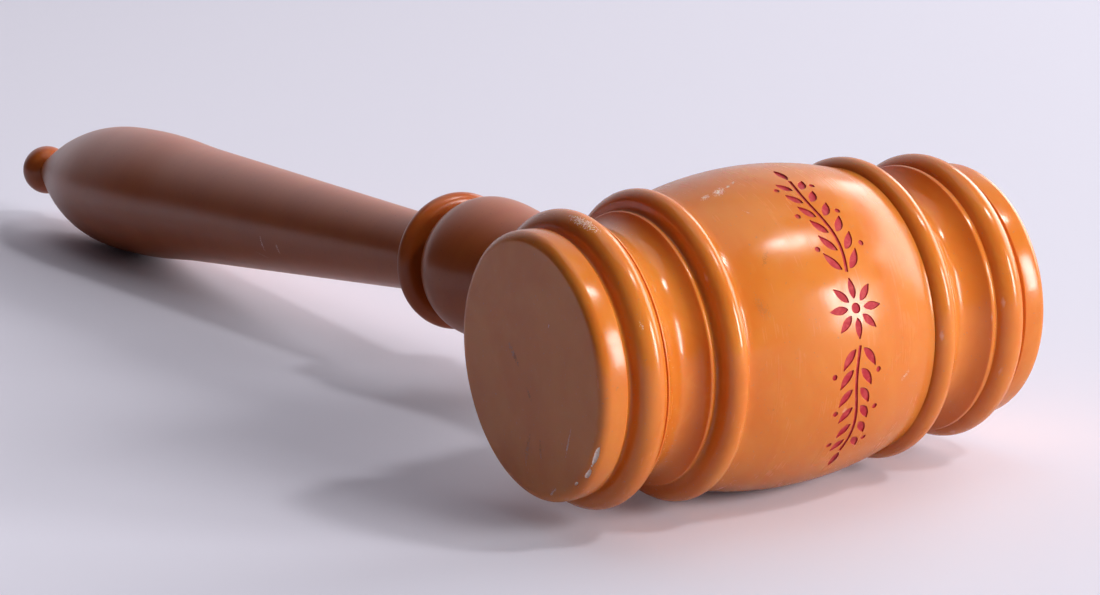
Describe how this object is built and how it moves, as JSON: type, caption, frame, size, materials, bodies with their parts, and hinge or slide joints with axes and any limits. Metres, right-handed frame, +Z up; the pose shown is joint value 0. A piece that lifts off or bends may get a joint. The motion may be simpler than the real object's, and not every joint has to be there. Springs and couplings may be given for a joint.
{
  "type": "ceremonial gavel",
  "caption": "Turned ceremonial gavel: barrel-shaped head with beads and coves, and a tapered handle with bulb, collar, belly and ball finial that screws into the head.",
  "frame": {"origin": "middle of the bounding box, on the table that the gavel rests on", "axes": "+X along the axis of the head, +Y from the head towards the end of the handle, +Z up"},
  "size_m": [0.0762, 0.2896, 0.0464],
  "materials": {
    "resin": "polished cast resin, butterscotch orange",
    "bush_brass": "machined brass",
    "steel": "plain steel"
  },
  "bodies": {
    "head": {"head": "resin", "head_bush": "bush_brass"},
    "stud": {"stud": "steel"},
    "handle": {"handle_bush": "bush_brass", "bulb": "resin", "collar": "resin", "grip": "resin", "finial": "resin", "finial_pin": "steel"}
  },
  "joints": [
    {"name": "handle_turn", "type": "hinge", "parent": "head", "child": "stud", "pos_m": [0, -0.1216, 0.0232], "axis": [0, 0.9988, -0.0498], "range_deg": [0, 5400]},
    {"name": "handle_draw", "type": "slide", "parent": "stud", "child": "handle", "axis": [0, 0.9988, -0.0498], "range_m": [0, 0.01906]}
  ],
  "couplings": [
    {"joint": "handle_draw", "follows": "handle_turn", "m_per_rad": 0.00020213}
  ]
}
